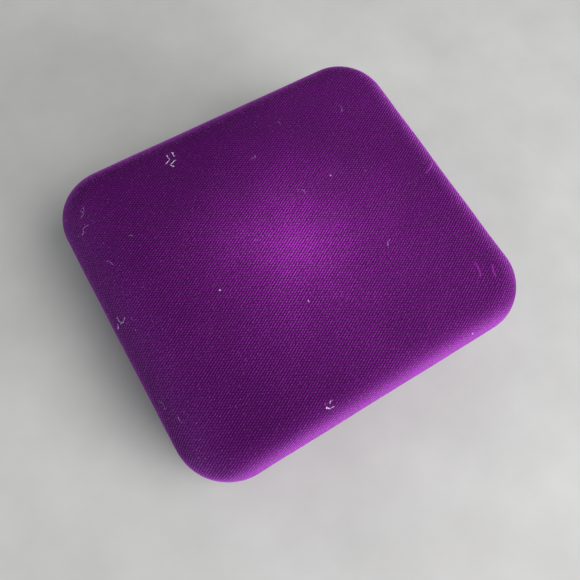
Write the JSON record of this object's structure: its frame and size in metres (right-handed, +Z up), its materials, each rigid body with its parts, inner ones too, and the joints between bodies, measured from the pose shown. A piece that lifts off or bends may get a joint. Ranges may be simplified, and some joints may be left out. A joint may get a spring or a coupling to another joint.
{
  "type": "hinged velvet ring box",
  "caption": "Low rounded-rectangle ring box covered in purple velvet, with a softly crowned snap-hinged lid, a slit cushion that grips rings and a satin lining.",
  "frame": {"origin": "centre of the box's outline on the plane it rests on", "axes": "+Z up, +X along the long side, -Y the front that opens, +Y the hinge side"},
  "size_m": [0.094, 0.0864, 0.034],
  "materials": {
    "velvet": "pile velvet with a fine diagonal rib",
    "cushion_velvet": "short-pile velvet",
    "felt": "pressed felt",
    "shell_plastic": "moulded, matt",
    "satin": "ivory satin",
    "foam": "open-cell foam",
    "card": "grey board",
    "hinge_steel": "nickel-plated sheet steel",
    "rivet_brass": "brass",
    "spring_steel": "blued spring steel"
  },
  "bodies": {
    "base": {"base_shell": "shell_plastic", "base_velvet_cover": "velvet", "bottom_pad": "felt", "base_lining_band": "satin", "cushion_card": "card", "ring_cushion_front_foam": "foam", "ring_cushion_front_cover": "cushion_velvet", "ring_cushion_back_foam": "foam", "ring_cushion_back_cover": "cushion_velvet", "hinge_leaf_lower": "hinge_steel", "hinge_pin": "hinge_steel", "hinge_rivets_lower": "rivet_brass", "snap_spring_left": "spring_steel", "snap_spring_right": "spring_steel", "snap_spring_rivets": "rivet_brass"},
    "lid": {"lid_shell": "shell_plastic", "lid_foam_pad": "foam", "lid_velvet_cover": "velvet", "lid_lining_band": "satin", "lid_puff_card": "card", "lid_puff_foam": "foam", "lid_puff_satin": "satin", "hinge_leaf_upper": "hinge_steel", "hinge_rivets_upper": "rivet_brass"}
  },
  "joints": [
    {"name": "lid_hinge", "type": "hinge", "parent": "base", "child": "lid", "pos_m": [0, 0.0425, 0.018], "axis": [-1, 0, 0], "range_deg": [0, 100]}
  ]
}
